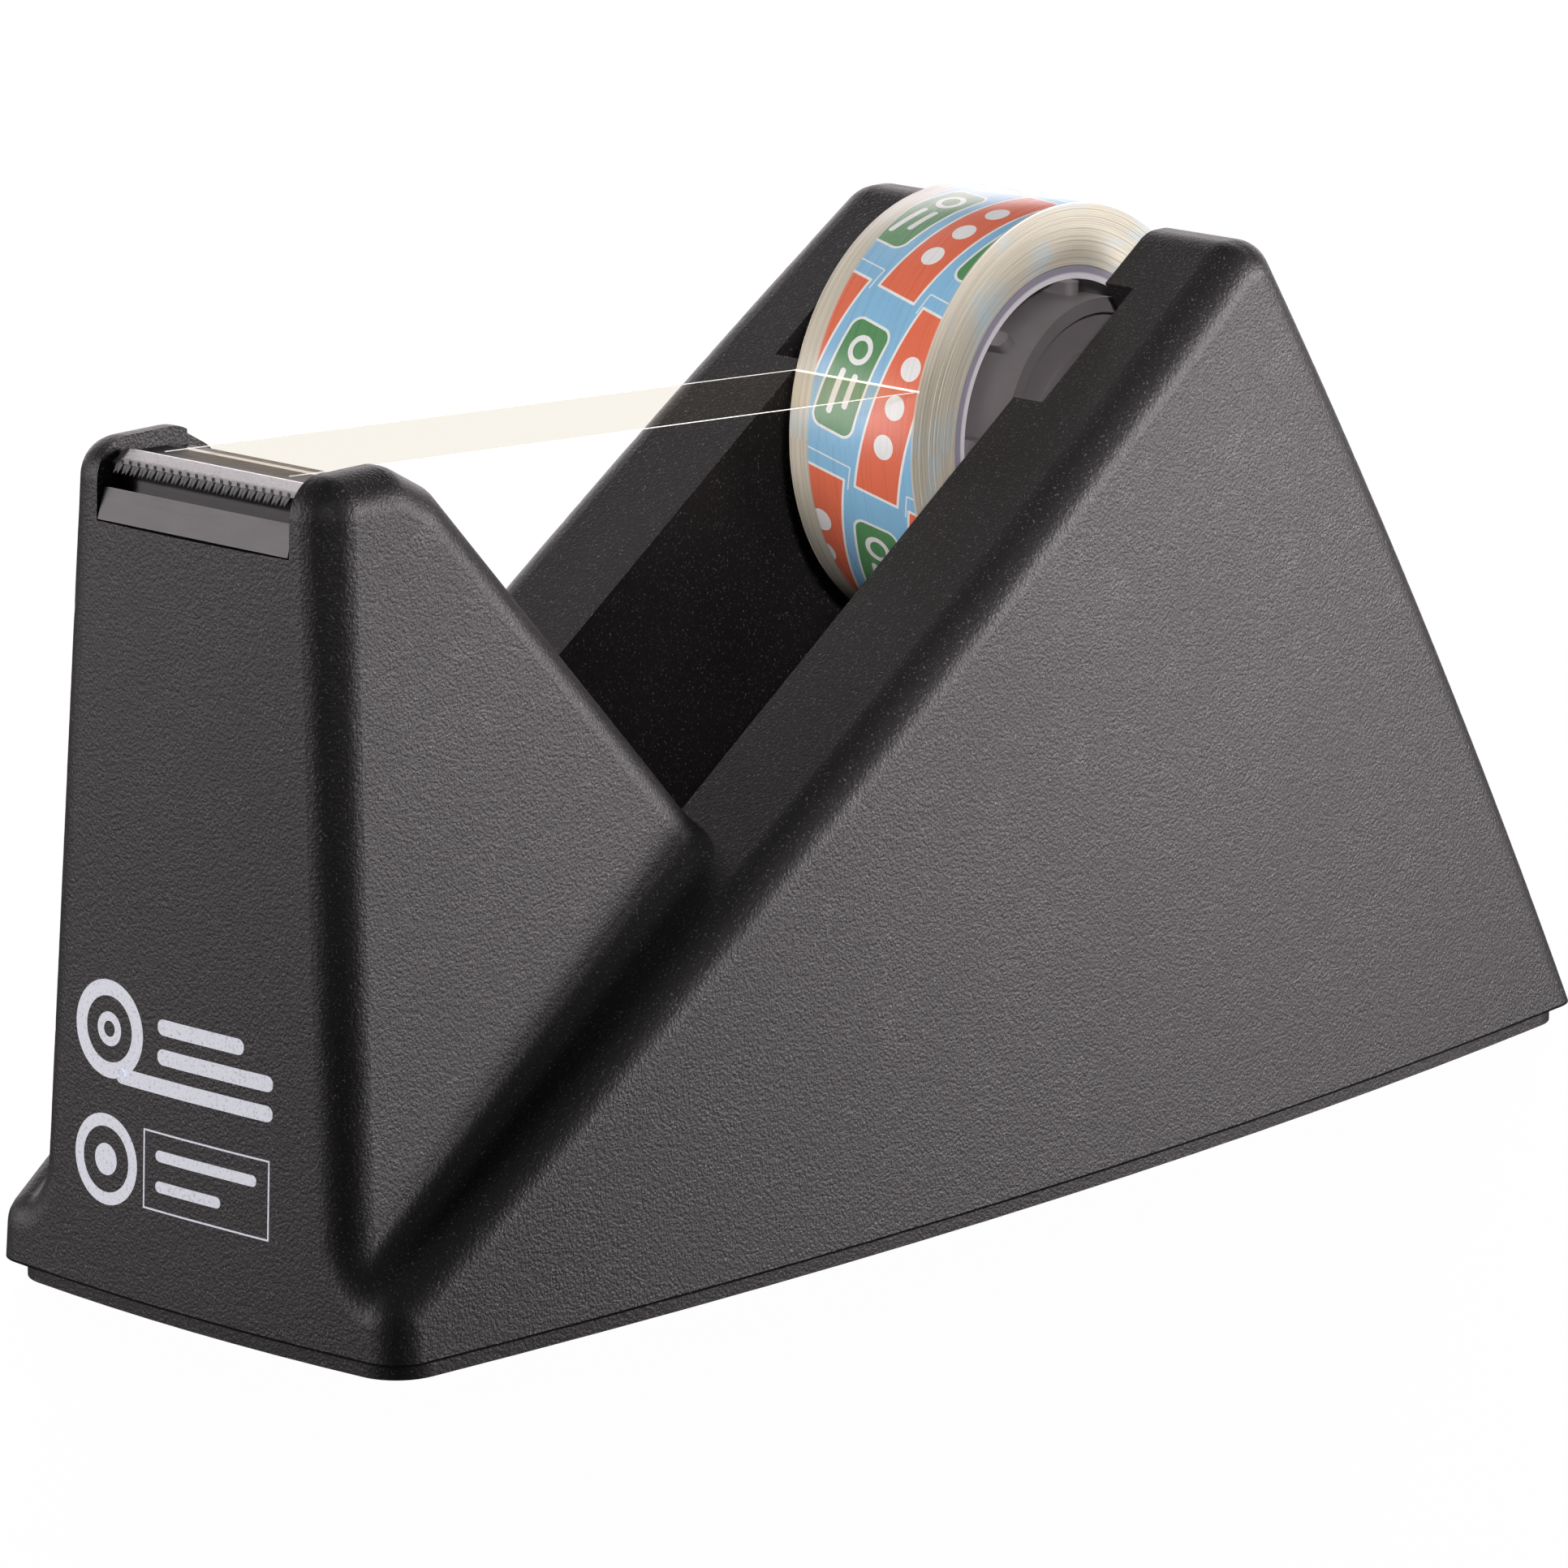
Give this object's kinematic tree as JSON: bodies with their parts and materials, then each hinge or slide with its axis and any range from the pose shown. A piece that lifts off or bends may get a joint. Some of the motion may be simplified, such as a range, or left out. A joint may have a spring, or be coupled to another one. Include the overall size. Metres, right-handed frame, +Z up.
{
  "type": "tape dispenser",
  "caption": "Weighted desktop tape dispenser: bowed wedge housing with a front tower, serrated steel cutter and an open channel that holds a small roll of clear tape on a lift-out hub.",
  "frame": {"origin": "centre of the footprint on the table, at the underside of the anti-slip pad", "axes": "+Z up, +X from the cutter to the roll, +Y to the left of someone facing the roll from the cutter"},
  "size_m": [0.1616, 0.0586, 0.0846],
  "materials": {
    "housing_plastic": "fine spark-eroded grain, charcoal black",
    "smooth_plastic": "smooth satin dark grey",
    "pad_foam": "matt black foam rubber",
    "screw_steel": "zinc plated",
    "weight_iron": "rough cast",
    "blade_steel": "bright stamped steel",
    "hub_plastic": "satin moulded, charcoal",
    "core_plastic": "smooth white",
    "tape_film": "clear film wound over a printed layer in blue, orange and green",
    "strand_film": "thin clear film"
  },
  "bodies": {
    "root": {"housing": "housing_plastic", "base_plate": "housing_plastic", "anti_slip_pad": "pad_foam", "base_screws": "screw_steel", "rear_weight": "weight_iron", "front_weight": "weight_iron", "blade_holder": "smooth_plastic", "cutter_blade": "blade_steel"},
    "tape_strand": {"tape_leader": "strand_film"},
    "spool": {"hub_drum": "hub_plastic", "hub_cap_near": "hub_plastic", "hub_cap_far": "hub_plastic", "tape_core": "core_plastic", "tape_roll": "tape_film"}
  },
  "joints": [
    {"name": "roll_lift", "type": "slide", "parent": "root", "child": "tape_strand", "axis": [-0.5678, 0, 0.8231], "range_m": [0, 0.05]},
    {"name": "roll_spin", "type": "hinge", "parent": "tape_strand", "child": "spool", "pos_m": [0.0242, 0, 0.0641], "axis": [0, 1, 0], "continuous": true}
  ]
}
